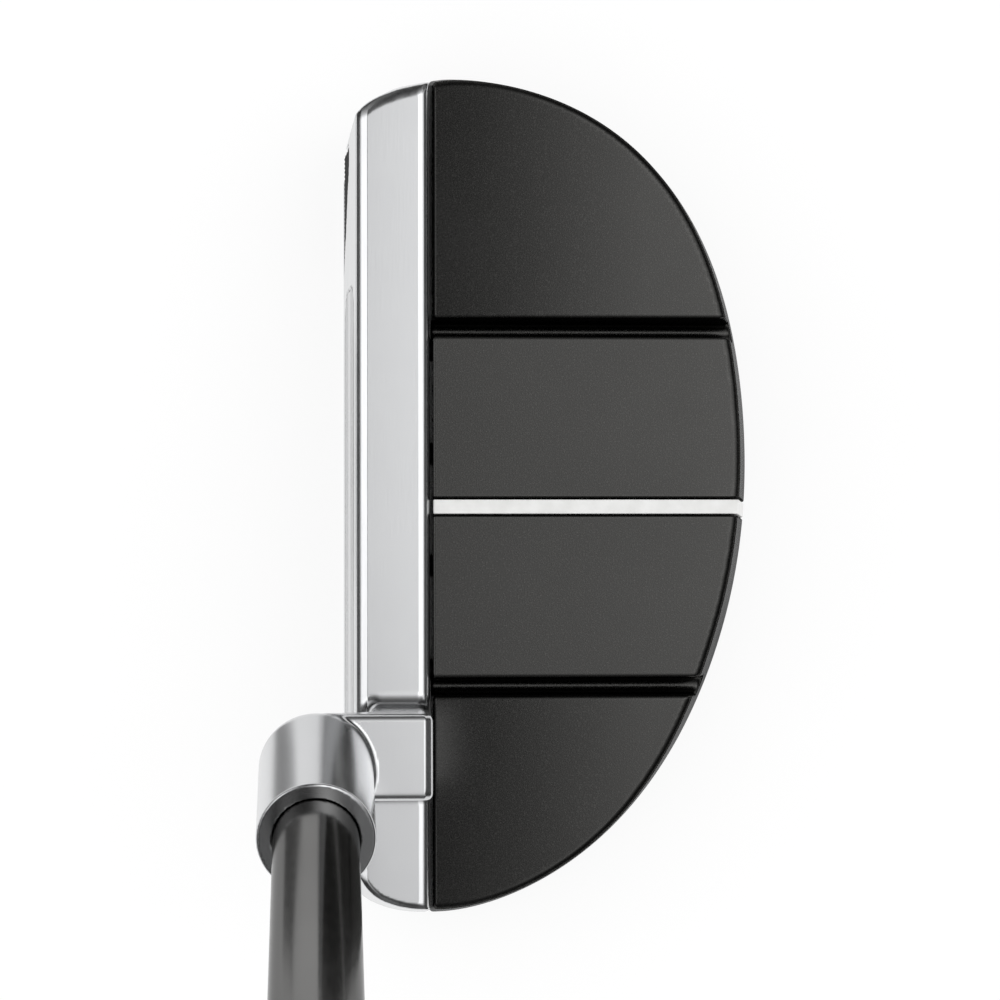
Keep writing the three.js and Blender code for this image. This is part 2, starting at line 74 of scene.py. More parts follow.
def mesh_from_arrays(name, v, quads):
    """Fast mesh of quads from numpy arrays, v in mm."""
    me = bpy.data.meshes.new(name)
    n, m = len(v), len(quads)
    me.vertices.add(n)
    me.vertices.foreach_set("co", (v * MM).astype(np.float32).ravel())
    me.loops.add(m * 4)
    me.loops.foreach_set("vertex_index", quads.astype(np.int32).ravel())
    me.polygons.add(m)
    me.polygons.foreach_set("loop_start", np.arange(0, m * 4, 4, dtype=np.int32))
    me.polygons.foreach_set("loop_total", np.full(m, 4, dtype=np.int32))
    me.polygons.foreach_set("use_smooth", np.ones(m, dtype=bool))
    me.update()
    me.validate()
    o = bpy.data.objects.new(name, me)
    bpy.context.scene.collection.objects.link(o)
    return o


def grid_line(start, *spans):
    """Grid coordinates from start, each span given as (to, step)."""
    out = [start]
    for to, step in spans:
        n = max(1, int(round((to - out[-1]) / step)))
        out += list(np.linspace(out[-1], to, n + 1)[1:])
    return np.array(out)


def surface_net(name, sdf, lo, hi, step, relax=3, project=4):
    """Closed quad mesh of the zero level of sdf(x, y, z), all in mm; vertices are pulled onto the surface.
    lo is either the low corner, or the three grid lines themselves."""
    if hi is None:
        ax = [np.asarray(a, float) for a in lo]
        n = [len(a) for a in ax]
    else:
        n = [int(math.ceil((hi[i] - lo[i]) / step)) + 1 for i in range(3)]
        ax = [lo[i] + step * np.arange(n[i]) for i in range(3)]
    F = np.empty(n, np.float32)
    for i in range(n[0]):                       # slab by slab, to keep memory low
        Y, Z = np.meshgrid(ax[1], ax[2], indexing="ij")
        F[i] = sdf(np.full_like(Y, ax[0][i]), Y, Z)
    S = F < 0
    corners = [(a, b, c) for a in (0, 1) for b in (0, 1) for c in (0, 1)]
    m = [k - 1 for k in n]
    cnt = np.zeros(m, np.int8)
    for a, b, c in corners:
        cnt += S[a:a + m[0], b:b + m[1], c:c + m[2]]
    cells = np.argwhere((cnt > 0) & (cnt < 8))
    ids = np.full(m, -1, np.int64)
    ids[tuple(cells.T)] = np.arange(len(cells))
    acc = np.zeros((len(cells), 3)); w = np.zeros(len(cells))
    edges = [(p, q) for p in corners for q in corners if sum(q) == sum(p) + 1 and sum(abs(q[i] - p[i]) for i in range(3)) == 1]
    for p, q in edges:
        fp = F[cells[:, 0] + p[0], cells[:, 1] + p[1], cells[:, 2] + p[2]]
        fq = F[cells[:, 0] + q[0], cells[:, 1] + q[1], cells[:, 2] + q[2]]
        hit = (fp < 0) != (fq < 0)
        t = np.where(hit, fp / np.where(hit, fp - fq, 1), 0)
        pt = np.array(p) + t[:, None] * (np.array(q) - np.array(p))
        acc += np.where(hit[:, None], pt, 0); w += hit
    at = cells + acc / w[:, None]
    v = np.stack([np.interp(at[:, i], np.arange(n[i]), ax[i]) for i in range(3)], 1)
    quads = []
    for axis in range(3):
        b, c = (axis + 1) % 3, (axis + 2) % 3
        sl = [slice(None)] * 3
        s0, s1 = list(sl), list(sl)
        s0[axis] = slice(0, -1); s1[axis] = slice(1, None)
        for k in (b, c):
            s0[k] = slice(1, -1); s1[k] = slice(1, -1)
        A, B = S[tuple(s0)], S[tuple(s1)]
        for flip, mask in ((False, A & ~B), (True, ~A & B)):
            e = np.argwhere(mask)
            off = np.zeros(3, int); off[b] = 1; off[c] = 1
            e = e + off
            def cell(db, dc):
                k = e.copy(); k[:, b] -= db; k[:, c] -= dc
                return ids[k[:, 0], k[:, 1], k[:, 2]]
            q = np.stack([cell(1, 1), cell(0, 1), cell(0, 0), cell(1, 0)], 1)
            quads.append(q[:, ::-1] if flip else q)
    quads = np.concatenate(quads)
    quads = quads[(quads >= 0).all(1)]

    def grad(v):
        h = 0.02
        g = np.empty_like(v)
        for i in range(3):
            d = np.zeros(3); d[i] = h
            g[:, i] = sdf(*(v + d).T) - sdf(*(v - d).T)
        return g / (2 * h)

    ea = np.concatenate([quads[:, [i, (i + 1) % 4]] for i in range(4)])
    deg = np.bincount(ea.ravel(), minlength=len(v)).astype(float)
    for it in range(max(relax, project)):
        if it < relax:
            s = np.zeros_like(v)
            np.add.at(s, ea[:, 0], v[ea[:, 1]]); np.add.at(s, ea[:, 1], v[ea[:, 0]])
            avg = s / deg[:, None]
            g = grad(v); gl = np.linalg.norm(g, axis=1, keepdims=True) + 1e-9; g = g / gl
            move = (avg - v) * 0.5
            v = v + move - g * (move * g).sum(1, keepdims=True)
        f = sdf(*v.T)
        g = grad(v); g2 = (g * g).sum(1) + 1e-6
        stepv = np.clip(f / g2, -0.4 * step, 0.4 * step)
        v = v - stepv[:, None] * g
    o = mesh_from_arrays(name, v, quads)
    FIELD[o.name] = sdf
    return o


FIELD = {}


# ------------------------------------------------------------------ distance-field building blocks (mm)
def r_and(a, b, r):
    """Intersection with a rounded edge of radius r."""
    return np.minimum(-r, np.maximum(a, b)) + np.sqrt(np.maximum(a + r, 0) ** 2 + np.maximum(b + r, 0) ** 2)


def r_or(a, b, r):
    """Union with a fillet of radius r."""
    return np.maximum(r, np.minimum(a, b)) - np.sqrt(np.maximum(r - a, 0) ** 2 + np.maximum(r - b, 0) ** 2)


def r_sub(a, b, r):
    return r_and(a, -b, r)


def slab(t, lo, hi):
    return np.abs(t - (lo + hi) / 2) - (hi - lo) / 2


def rrect(a, b, x0, x1, y0, y1, r):
    qa = np.abs(a - (x0 + x1) / 2) - (x1 - x0) / 2 + r
    qb = np.abs(b - (y0 + y1) / 2) - (y1 - y0) / 2 + r
    return np.minimum(np.maximum(qa, qb), 0) + np.sqrt(np.maximum(qa, 0) ** 2 + np.maximum(qb, 0) ** 2) - r


def convex(a, b, pts):
    """Signed distance (inside exact, outside lower bound) to a convex outline, anticlockwise."""
    d = None
    for i in range(len(pts)):
        p, q = pts[i], pts[(i + 1) % len(pts)]
        n = np.array([q[1] - p[1], p[0] - q[0]]); n /= np.linalg.norm(n)
        e = (a - p[0]) * n[0] + (b - p[1]) * n[1]
        d = e if d is None else np.maximum(d, e)
    return d


def rim_radius(deg):
    return np.polynomial.chebyshev.chebval(np.asarray(deg) / 92.0, RIM)


# head outline at its widest height, as a dense smooth closed line
_a = np.arange(-88, 89, 2.0)
_rim = np.c_[RIM_CX + rim_radius(_a) * np.cos(np.radians(_a)), RIM_CY + rim_radius(_a) * np.sin(np.radians(_a))]
_toe = [[-11.5, 54.1], [-13.2, 53.7], [-14.8, 52.95], [-16.3, 51.65], [-17.6, 50.0], [-18.7, 48.2], [-19.4, 46.8], [-20.4, 44.9], [-23, 41.8]]
_heel = [[-23, -39.5], [-20.9, -43.4], [-20.0, -45.4], [-18.9, -47.2], [-17.2, -48.8], [-14.6, -49.95], [-11.6, -50.5]]
_key = np.array([*_rim.tolist(), *_toe, [-27, 36], [-27, -33], *_heel])


def catmull(P, n=4):
    out = []
    N = len(P)
    for i in range(N):
        p0, p1, p2, p3 = P[i - 1], P[i], P[(i + 1) % N], P[(i + 2) % N]
        d = [max(1e-6, np.linalg.norm(b - a)) ** 0.5 for a, b in ((p0, p1), (p1, p2), (p2, p3))]
        m1 = (p1 - p0) / d[0] - (p2 - p0) / (d[0] + d[1]) + (p2 - p1) / d[1]
        m2 = (p2 - p1) / d[1] - (p3 - p1) / (d[1] + d[2]) + (p3 - p2) / d[2]
        m1, m2 = m1 * d[1], m2 * d[1]
        for k in range(n):
            t = k / n
            out.append((2 * t ** 3 - 3 * t ** 2 + 1) * p1 + (t ** 3 - 2 * t ** 2 + t) * m1 + (-2 * t ** 3 + 3 * t ** 2) * p2 + (t ** 3 - t ** 2) * m2)
    return np.array(out)


OUT = catmull(_key)
GX0, GY0, GH = -34.0, -60.0, 0.25
_gx = np.arange(GX0, 38, GH); _gy = np.arange(GY0, 64, GH)


def _grid_distance():
    A, B = OUT, np.roll(OUT, -1, 0)
    X, Y = np.meshgrid(_gx, _gy, indexing="ij")
    best = np.full(X.shape, 1e9)
    inside = np.zeros(X.shape, bool)
    for (ax, ay), (bx, by) in zip(A, B):
        dx, dy = bx - ax, by - ay
        L = dx * dx + dy * dy
        if L < 1e-12:
            continue
        t = np.clip(((X - ax) * dx + (Y - ay) * dy) / L, 0, 1)
        best = np.minimum(best, (X - ax - t * dx) ** 2 + (Y - ay - t * dy) ** 2)
        if dy != 0:
            cross = ((ay > Y) != (by > Y)) & (X < dx * (Y - ay) / dy + ax)
            inside ^= cross
    return np.where(inside, -1, 1) * np.sqrt(best)


_D2 = _grid_distance()


def plan(x, y):
    """Signed distance to the head outline in plan, from the grid."""
    fx = np.clip((x - GX0) / GH, 0, len(_gx) - 2.001); fy = np.clip((y - GY0) / GH, 0, len(_gy) - 2.001)
    i = fx.astype(int); j = fy.astype(int); s = fx - i; t = fy - j
    return (_D2[i, j] * (1 - s) + _D2[i + 1, j] * s) * (1 - t) + (_D2[i, j + 1] * (1 - s) + _D2[i + 1, j + 1] * s) * t


def smooth01(t):
    t = np.clip(t, 0, 1)
    return t * t * (3 - 2 * t)


def walls(x, y, z, top):
    """The rim walls: upright below the widest height, leaning in above it."""
    lean = (1.85 + 0.90 * smooth01((y + 45) / 30)) * np.where(y > 0, smooth01((x + 20.0) / 8.0), 1.0)
    k = np.clip((z - WIDE_Z) / (top - WIDE_Z), 0, 1.2)
    k = np.where(k < 0.12, k * k / 0.24, k - 0.06) / 0.94
    return (plan(x, y) + lean * k) * 0.987


def shaft_uvw(x, y, z):
    yy = y - AXIS_Y0
    return x - SHAFT_X, yy * math.cos(TILT) + z * math.sin(TILT), -yy * math.sin(TILT) + z * math.cos(TILT)


def face_dz(x, y, z):
    """Depth into the head from the lofted face, and height up the face."""
    return (x - LEAD_X) * math.cos(LOFT) - z * math.sin(LOFT), (x - LEAD_X) * math.sin(LOFT) + z * math.cos(LOFT)


ARM_TOP_Z = 49.0
TOE_TRI = [(30.6, 1.5), (45.6, 1.5), (45.9, 1.9), (45.9, 10.9), (45.1, 11.9), (43.8, 11.8)]
HEEL_TRI = [(2.6 - a, b) for a, b in TOE_TRI][::-1]
INSERT = (-27.5, 27.5, 3.6, 21.4, 5.0)


def head_bar(x, y, z):
    d, h = face_dz(x, y, z)
    # crown: flat top between a front and a rear bevel
    a, b = math.radians(18), math.radians(6)
    c = math.radians(35)
    top = np.maximum((z - CROWN_Z) * math.cos(a) - (x + 17.3) * math.sin(a), z - CROWN_Z)
    top = np.maximum((z - CROWN_Z) * math.cos(b) + (x + 11.1) * math.sin(b), top)
    top = r_and((z - 24.74) * math.cos(c) - (x + 18.1) * math.sin(c), top, 0.08)
    top = r_and((z - 24.94) * math.cos(c) + (x + 10.5) * math.sin(c), top, 0.05)
    wall = r_and(walls(x, y, z, CROWN_Z), -z, 5.0)
    ends = 0.10 + 0.26 * smooth01((y + 10) / 20)
    # the lean changes round the toe corner, so the chamfer is kept even by the true slope of the wall
    w0 = walls(x, y, z, CROWN_Z)
    gx, gy = (walls(x + 0.1, y, z, CROWN_Z) - w0) * 10, (walls(x, y + 0.1, z, CROWN_Z) - w0) * 10
    even = w0 / np.clip(np.sqrt(gx * gx + gy * gy), 0.5, 1.2)
    top = r_and((z - CROWN_Z) * math.cos(c) + (even + 0.60 + 0.15 * smooth01(y / 20)) * math.sin(c), top, ends)
    f = r_and(-d, top, 0.22)
    f = r_and(f, -z, 1.0)
    f = r_and(f, x - FRAME_BACK_X, 0.6)
    return r_and(f, wall, 0.10)


def neck(x, y, z):
    u, v, w = shaft_uvw(x, y, z)
    w = w - NECK_S
    tube = np.sqrt(u * u + v * v + (np.minimum(w, 0) / 0.82) ** 2) - HOSEL_R
    tube = r_and(tube, w - (RING_S - NECK_S), 0.28)
    under = -((w + 5.2) * 0.885 + u * 0.466)
    arm = r_and(r_and(-u + 0.5, under, 1.5), w - 4, 0.5)
    post = np.maximum(-u + 6.8, w - 4)
    L = r_or(arm, post, 3.0)
    c = math.radians(36)
    end = np.maximum((z - ARM_TOP_Z) * math.cos(c) + (u - 12.4) * math.sin(c), z - ARM_TOP_Z)
    end = r_and(end, u - 13.3, 0.3)
    L = r_and(L, end, 0.6)
    L = r_and(L, slab(y, -34.2, -24.3), 0.9)
    L = np.maximum(L, 21 - z)
    return tube, L


def front_frame_sdf(x, y, z):
    tube, L = neck(x, y, z)
    n = r_or(tube, L, 0.5)
    f = r_or(head_bar(x, y, z), n, 1.8)
    f = r_and(f, x - FRAME_BACK_X, 0.3)
    u, v, w = shaft_uvw(x, y, z)
    bore = np.maximum(np.sqrt(u * u + v * v) - 4.76, 50.2 - w)
    f = r_sub(f, bore, 0.12)
    for y0, y1 in ((26.5, 44.5), (-42.5, -26.5)):
        f = np.maximum(f, -np.maximum(rrect(y, z, y0, y1, 5.5, 20, 2.5), -13.6 - x))
    d, h = face_dz(x, y, z)
    pocket = np.maximum(rrect(y, h, INSERT[0], INSERT[1], INSERT[2], INSERT[3], INSERT[4]), slab(d, -9, 5.0))
    f = r_sub(f, pocket, 0.12)
    for tri in (TOE_TRI, HEEL_TRI):
        f = r_sub(f, np.maximum(convex(y, h, tri), slab(d, -9, 2.2)), 0.1)
    for sy in SCREW_Y:
        q = np.sqrt((y - sy) ** 2 + (z - SCREW_Z) ** 2)
        f = np.maximum(f, -np.minimum(np.maximum(q - 1.7, x - 0), np.maximum(q - 2.9, x + 12.4)))
    return f


def body_top(x, y):
    """Height of the top of the black body: flat middle, wings that dish down a little towards the frame."""
    wing = smooth01((np.abs(y) - (GROOVE_Y - 1.0)) / 2.0)
    s = np.clip((x - BODY_FRONT_X) / 26.0, 0, 1)
    return BODY_TOP_Z - wing * 1.25 * (1 - s) ** 2.0


def body_blank(x, y, z):
    wall = r_and(walls(x, y, z, BODY_TOP_Z), -z, 5.0)
    c = math.radians(38)
    top = (z - body_top(x, y)) * 0.995
    top = r_and(top * math.cos(c) + (wall + 0.52) * math.sin(c), top, 0.14)
    return r_and(wall, top, 0.16)


def sight_slot(x, y, z, half, depth, end):
    """Channel of one depth, all along the top and down the back."""
    return np.maximum(np.maximum(np.abs(y) - half, end - z), -(body_blank(x, y, z) + depth))


def rear_body_sdf(x, y, z):
    f = body_blank(x, y, z)
    wing = np.abs(y) > GROOVE_Y
    front = BODY_FRONT_X - x
    f = np.where(wing, r_and(f, front, 0.5), r_and(f, front, 0.15))
    for s in (1, -1):
        q = np.abs(y - s * GROOVE_Y)
        slot = np.where(z < 17.3, np.sqrt(q * q + (z - 17.3) ** 2), q) - 1.1
        f = r_sub(f, slot, 0.42)
    f = r_sub(f, sight_slot(x, y, z, SIGHT_W / 2, 1.2, SIGHT_END_Z), 0.1)
    for sy in SCREW_Y:
        q = np.sqrt((y - sy) ** 2 + (z - SCREW_Z) ** 2)
        f = np.maximum(f, -np.maximum(q - 1.55, x + 0.8))
    for wx, wy in WEIGHTS.values():
        q = np.sqrt((x - wx) ** 2 + (y - wy) ** 2)
        f = r_sub(f, np.maximum(q - 7.55, z - 8.4), 0.25)
    f = r_sub(f, np.maximum(rrect(x, y, -5, 23, -19.5, 19.5, 8.0), z - 1.8), 0.12)
    f = np.maximum(f, -np.maximum(rrect(x, y, -1.5, 19.5, -12, 12, 5.0), z - 15.5))
    for cx, cy in COVER_SCREW:
        f = np.maximum(f, -np.maximum(np.sqrt((x - cx) ** 2 + (y - cy) ** 2) - 1.15, z - 7.6))
    return f


def sight_sdf(x, y, z):
    f = body_blank(x, y, z)
    f = r_and(f, BODY_FRONT_X + 0.02 - x, 0.1)
    return r_and(f, sight_slot(x, y, z, INFILL_W / 2, 1.17, SIGHT_END_Z + 0.03), 0.06)


def insert_sdf(x, y, z):
    d, h = face_dz(x, y, z)
    f = r_and(rrect(y, h, INSERT[0] + 0.12, INSERT[1] - 0.12, INSERT[2] + 0.12, INSERT[3] - 0.12, INSERT[4] - 0.12), slab(d, 0.0, 3.4), 0.18)
    for g in (4.9, 7.1, 9.3, 15.7, 17.9, 20.1):
        f = r_sub(f, np.maximum(np.abs(h - g) - 0.28, d - 0.32), 0.08)
    return f


def inlay_sdf(tri):
    def f(x, y, z):
        d, h = face_dz(x, y, z)
        rib = 0.10 * (0.5 + 0.5 * np.cos(2 * np.pi * y / 0.55))
        return r_and(convex(y, h, tri) + 0.1, np.maximum(-(d - 0.03 - rib), d - 2.1), 0.08)
    return f


def weight_sdf(wx, wy):
    def f(x, y, z):
        q = np.sqrt((x - wx) ** 2 + (y - wy) ** 2)
        s = r_and(q - 7.35, slab(z, 0.3, 7.1), 0.4)
        s = r_sub(s, np.maximum(np.abs(q - 5.75) - 0.22, z - 0.55), 0.08)
        for i in range(3):
            a = math.radians(90 + 120 * i)
            k = np.sqrt((x - wx - 3.6 * math.cos(a)) ** 2 + (y - wy - 3.6 * math.sin(a)) ** 2)
            s = r_sub(s, np.maximum(k - 0.95, z - 2.8), 0.2)
        return s
    return f


def cover_sdf(x, y, z):
    s = r_and(rrect(x, y, -4.8, 22.8, -19.3, 19.3, 7.8), slab(z, 0.0, 1.6), 0.25)
    s = r_sub(s, np.maximum(np.abs(rrect(x, y, -2.6, 20.6, -12.6, 12.6, 5.0)) - 0.3, z - 0.28), 0.1)
    for cx, cy in COVER_SCREW:
        q = np.sqrt((x - cx) ** 2 + (y - cy) ** 2)
        s = r_sub(s, np.maximum(q - 2.3, z - 1.0), 0.15)
        s = np.maximum(s, -(q - 1.35))
    return s


def cover_screw_sdf(cx, cy):
    def f(x, y, z):
        q = np.sqrt((x - cx) ** 2 + (y - cy) ** 2)
        head = r_and(q - 2.1, slab(z, 0.2, 0.95), 0.18)
        shank = r_and(q - 1.0, slab(z, 0.5, 7.4), 0.2)
        s = np.minimum(head, shank)
        hexa = None
        for i in range(3):
            a = math.radians(60 * i)
            e = np.abs((x - cx) * math.cos(a) + (y - cy) * math.sin(a)) - 0.65
            hexa = e if hexa is None else np.maximum(hexa, e)
        return r_sub(s, np.maximum(hexa, z - 0.75), 0.05)
    return f


# ------------------------------------------------------------------ materials
def material(name):
    m = bpy.data.materials.new(name)
    m.use_nodes = True
    m.node_tree.nodes.clear()
    t = m.node_tree
    out = t.nodes.new("ShaderNodeOutputMaterial")
    b = t.nodes.new("ShaderNodeBsdfPrincipled")
    t.links.new(b.outputs["BSDF"], out.inputs["Surface"])
    return m, t, b


def coords(t, scale=(1, 1, 1), rot=(0, 0, 0)):
    """Object coordinates in millimetres, so that detail sizes read in mm."""
    c = t.nodes.new("ShaderNodeTexCoord")
    mp = t.nodes.new("ShaderNodeMapping")
    mp.inputs["Scale"].default_value = tuple(1000 * s for s in scale)
    mp.inputs["Rotation"].default_value = rot
    t.links.new(c.outputs["Object"], mp.inputs["Vector"])
    return mp.outputs["Vector"]


def noise(t, vec, scale, detail=3.0, rough=0.5):
    n = t.nodes.new("ShaderNodeTexNoise")
    n.inputs["Scale"].default_value = scale
    n.inputs["Detail"].default_value = detail
    n.inputs["Roughness"].default_value = rough
    t.links.new(vec, n.inputs["Vector"])
    return n.outputs["Fac"]


def ramp(t, fac, lo, hi, a, b):
    r = t.nodes.new("ShaderNodeMapRange")
    r.inputs["From Min"].default_value = lo
    r.inputs["From Max"].default_value = hi
    r.inputs["To Min"].default_value = a
    r.inputs["To Max"].default_value = b
    t.links.new(fac, r.inputs["Value"])
    return r.outputs["Result"]


def mix_colour(t, fac, a, b):
    m = t.nodes.new("ShaderNodeMix")
    m.data_type = "RGBA"
    t.links.new(fac, m.inputs["Factor"])
    m.inputs["A"].default_value = (*a, 1)
    m.inputs["B"].default_value = (*b, 1)
    return m.outputs["Result"]


def add_bump(t, b, height, strength, distance, normal=None):
    n = t.nodes.new("ShaderNodeBump")
    n.inputs["Strength"].default_value = strength
    n.inputs["Distance"].default_value = distance
    t.links.new(height, n.inputs["Height"])
    if normal is not None:
        t.links.new(normal, n.inputs["Normal"])
    t.links.new(n.outputs["Normal"], b.inputs["Normal"])
    return n.outputs["Normal"]


def metal(name, dark, light, rough, grain=(1, 1, 1), grain_scale=6.0, bump=0.05, aniso=0.0, rough_var=0.06):
    """Bare or plated metal: cloudy tone, drawn or blasted grain in roughness and bump."""
    m, t, b = material(name)
    v = coords(t)
    cloud = noise(t, v, 0.06, 4.0, 0.6)
    g = noise(t, coords(t, grain), grain_scale, 3.0, 0.6)
    t.links.new(mix_colour(t, ramp(t, cloud, 0.35, 0.65, 0, 1), dark, light), b.inputs["Base Color"])
    add = t.nodes.new("ShaderNodeMath"); add.operation = "ADD"
    t.links.new(ramp(t, g, 0.3, 0.7, rough - rough_var, rough + rough_var), add.inputs[0])
    t.links.new(ramp(t, cloud, 0.3, 0.7, -0.02, 0.02), add.inputs[1])
    t.links.new(add.outputs[0], b.inputs["Roughness"])
    b.inputs["Metallic"].default_value = 1.0
    if aniso:
        b.inputs["Anisotropic"].default_value = aniso
    add_bump(t, b, g, bump, 0.00004)
    return m


def dull(name, dark, light, rough, scale=3.0, bump=0.1, distance=0.00006, spec=0.5, detail=4.0):
    """Rubber, plastic, tape: mottled colour with a fine grain."""
    m, t, b = material(name)
    v = coords(t)
    c = noise(t, v, 0.15, 3.0)
    g = noise(t, v, scale, detail, 0.55)
    t.links.new(mix_colour(t, ramp(t, c, 0.3, 0.7, 0, 1), dark, light), b.inputs["Base Color"])
    t.links.new(ramp(t, g, 0.3, 0.7, rough - 0.06, rough + 0.06), b.inputs["Roughness"])
    b.inputs["Specular IOR Level"].default_value = spec
    add_bump(t, b, g, bump, distance)
    return m


MAT = {}
# satin cast steel, fine brush marks along the head
MAT["steel"] = metal("satin_steel", (0.60, 0.605, 0.615), (0.625, 0.63, 0.64), 0.22, (2.6, 0.10, 2.6), 2.2, 0.03, 0.0, 0.02)
MAT["insert"] = metal("milled_steel", (0.57, 0.573, 0.58), (0.61, 0.613, 0.62), 0.28, (1.5, 0.06, 3.0), 2.5, 0.12, 0.0, 0.04)
MAT["weight"] = metal("weight_steel", (0.50, 0.50, 0.50), (0.58, 0.58, 0.575), 0.30, (1, 1, 1), 3.0, 0.08)
MAT["cover"] = metal("cover_aluminium", (0.50, 0.50, 0.505), (0.57, 0.57, 0.575), 0.38, (1, 1, 1), 7.0, 0.14)
MAT["screw"] = metal("black_oxide", (0.05, 0.05, 0.052), (0.075, 0.075, 0.078), 0.36, (1, 1, 1), 6.0, 0.08)


def black_anodised():
    """Bead-blasted black anodised aluminium: fine sparkle, and a painted highlight that lightens the tone on the sharp
    edges.
    """
    m, t, b = material("black_anodised")
    v = coords(t)
    fine = noise(t, v, 5.5, 2.0, 0.6)
    cloud = noise(t, v, 0.05, 3.0, 0.5)
    g = t.nodes.new("ShaderNodeNewGeometry")
    # painted edge highlight: where pointiness marks a sharp convex edge, the colour is mixed up to a quarter of the
    # way to a lighter grey
    edge = ramp(t, g.outputs["Pointiness"], 0.505, 0.56, 0, 1)
    speck = ramp(t, fine, 0.52, 0.75, 0, 1)
    c1 = mix_colour(t, speck, (0.052, 0.0515, 0.050), (0.082, 0.081, 0.078))
    mx = t.nodes.new("ShaderNodeMix"); mx.data_type = "RGBA"
    k = t.nodes.new("ShaderNodeMath"); k.operation = "MULTIPLY"; k.inputs[1].default_value = 0.25
    t.links.new(edge, k.inputs[0])
    t.links.new(k.outputs[0], mx.inputs["Factor"])
    t.links.new(c1, mx.inputs["A"])
    # the lighter grey of the painted edge highlight
    mx.inputs["B"].default_value = (0.10, 0.10, 0.098, 1)
    t.links.new(mx.outputs["Result"], b.inputs["Base Color"])
    add = t.nodes.new("ShaderNodeMath"); add.operation = "ADD"
    t.links.new(ramp(t, fine, 0.3, 0.7, 0.24, 0.30), add.inputs[0])
    t.links.new(ramp(t, cloud, 0.3, 0.7, -0.02, 0.02), add.inputs[1])
    t.links.new(add.outputs[0], b.inputs["Roughness"])
    b.inputs["Metallic"].default_value = 1.0
    b.inputs["Specular IOR Level"].default_value = 0.5
    b.inputs["Specular Tint"].default_value = (0.0, 0.0, 0.0, 1)
    add_bump(t, b, fine, 0.14, 0.00005)
    return m


MAT["black"] = black_anodised()


def shaft_plating():
    m, t, b = material("dark_plating")
    v = coords(t, (1, 1, 0.05))
    g = noise(t, v, 1.4, 3.0, 0.5)
    c = noise(t, coords(t), 0.05, 2.0)
    t.links.new(mix_colour(t, ramp(t, c, 0.3, 0.7, 0, 1), (0.215, 0.213, 0.210), (0.240, 0.238, 0.235)), b.inputs["Base Color"])
    t.links.new(ramp(t, g, 0.3, 0.7, 0.14, 0.18), b.inputs["Roughness"])
    b.inputs["Metallic"].default_value = 1.0
    b.inputs["Specular Tint"].default_value = (0.45, 0.45, 0.45, 1)
    add_bump(t, b, g, 0.03, 0.00002)
    return m


MAT["shaft"] = shaft_plating()


def white_fill():
    m, t, b = material("white_infill")
    v = coords(t)
    c = noise(t, v, 0.5, 4.0)
    g = noise(t, v, 4.0, 3.0)
    t.links.new(mix_colour(t, ramp(t, c, 0.3, 0.7, 0, 1), (0.74, 0.74, 0.725), (0.83, 0.83, 0.82)), b.inputs["Base Color"])
    t.links.new(ramp(t, g, 0.3, 0.7, 0.42, 0.55), b.inputs["Roughness"])
    add_bump(t, b, g, 0.08, 0.00004)
    return m


MAT["white"] = white_fill()
MAT["rubber"] = dull("black_elastomer", (0.004, 0.004, 0.004), (0.008, 0.008, 0.008), 0.7, 3.0, 0.25, 0.00006, 0.12)
MAT["grip"] = dull("grip_rubber", (0.016, 0.016, 0.0165), (0.027, 0.027, 0.0275), 0.66, 1.6, 0.45, 0.00012)
MAT["plug"] = dull("moulded_plastic", (0.42, 0.40, 0.35), (0.52, 0.50, 0.44), 0.6, 2.0, 0.1)
MAT["tape"] = dull("crepe_tape", (0.55, 0.51, 0.40), (0.68, 0.64, 0.50), 0.85, 0.9, 0.8, 0.0002)

# ------------------------------------------------------------------ pieces of the head
BODY = "root"


def finish_piece(o, mat, slot, *nodes):
    bm = bmesh.new()
    bm.from_mesh(o.data)
    bmesh.ops.remove_doubles(bm, verts=bm.verts, dist=1e-8)
    bmesh.ops.recalc_face_normals(bm, faces=bm.faces)
    bm.to_mesh(o.data)
    bm.free()
    o.data.polygons.foreach_set("use_smooth", [True] * len(o.data.polygons))
    if o.name in FIELD:                         # exact surface normals from the distance field
        sdf = FIELD.pop(o.name)
        n = len(o.data.vertices)
        co = np.empty(n * 3, np.float32)
        o.data.vertices.foreach_get("co", co)
        v = co.reshape(-1, 3).astype(float) / MM
        h = 0.03
        g = np.stack([sdf(*(v + np.eye(3)[i] * h).T) - sdf(*(v - np.eye(3)[i] * h).T) for i in range(3)], 1)
        g /= np.linalg.norm(g, axis=1, keepdims=True) + 1e-12
        vn = np.empty(n * 3, np.float32)
        o.data.vertices.foreach_get("normal", vn)
        vn = vn.reshape(-1, 3)
        g = np.where((g * vn).sum(1, keepdims=True) > 0.6, g, vn)
        o.data.normals_split_custom_set_from_vertices([tuple(k) for k in g])
    o.data.materials.clear()
    o.data.materials.append(MAT[mat])
    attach(o, BODY)
    if nodes:
        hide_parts(*nodes)
    return o


